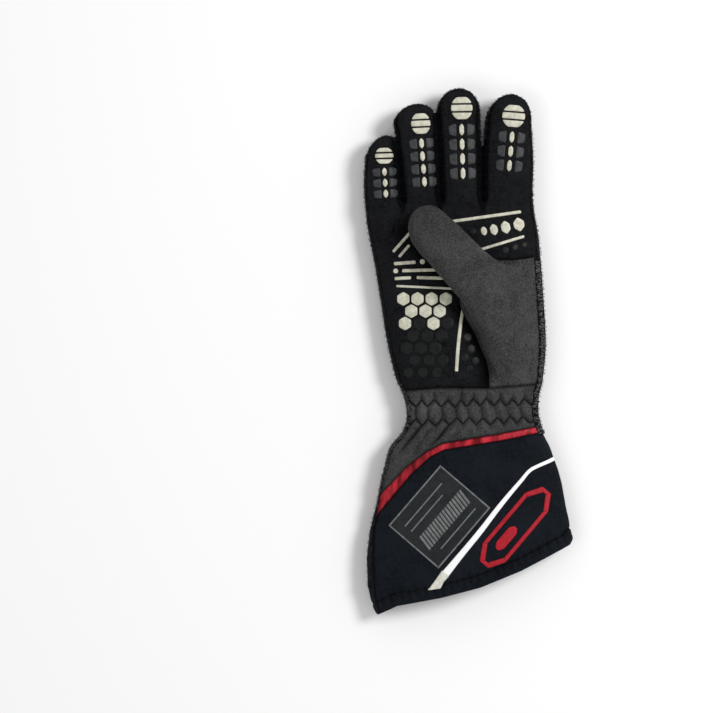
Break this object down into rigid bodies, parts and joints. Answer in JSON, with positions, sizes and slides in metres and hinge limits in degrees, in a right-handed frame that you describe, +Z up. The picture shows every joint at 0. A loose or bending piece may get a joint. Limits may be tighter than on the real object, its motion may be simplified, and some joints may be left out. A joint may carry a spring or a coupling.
{
  "type": "racing glove",
  "caption": "Gauntlet-style racing glove lying palm up, with suede palm and thumb, gathered wrist, coloured band and a flared cuff with an open mouth.",
  "frame": {"origin": "under the middle of the glove's bounding box, on the surface that the glove lies on", "axes": "+X towards the thumb side, +Y towards the fingertips, +Z up out of the palm"},
  "size_m": [0.1333, 0.336, 0.0466],
  "materials": {
    "black_knit": "matt brushed knit",
    "cuff_cloth": "matt fine woven cloth",
    "grey_suede": "napped suede",
    "seam_thread": "matt overlock thread",
    "red_band": "smooth satin",
    "pale_tape": "satin film",
    "grey_print": "satin silicone print",
    "red_print": "satin film",
    "grip_pad": "satin silicone print"
  },
  "bodies": {
    "root": {"front_panel": "black_knit", "back_panel": "black_knit", "side_strip_index_middle": "black_knit", "side_strip_middle_ring": "black_knit", "side_strip_ring_little": "black_knit", "suede_palm_and_thumb": "grey_suede", "thumb_underside": "grey_suede", "wrist_front": "grey_suede", "wrist_back": "grey_suede", "red_band_front": "red_band", "red_band_back": "red_band", "cuff_front": "cuff_cloth", "cuff_back": "cuff_cloth", "welt_thumb_side": "seam_thread", "welt_little_side": "seam_thread", "pale_tape": "pale_tape", "label_print": "grey_print", "emblem_print": "red_print", "tip_pad_index": "grip_pad", "tip_pad_middle": "grip_pad", "tip_pad_ring": "grip_pad", "tip_pad_little": "grip_pad"}
  },
  "joints": []
}
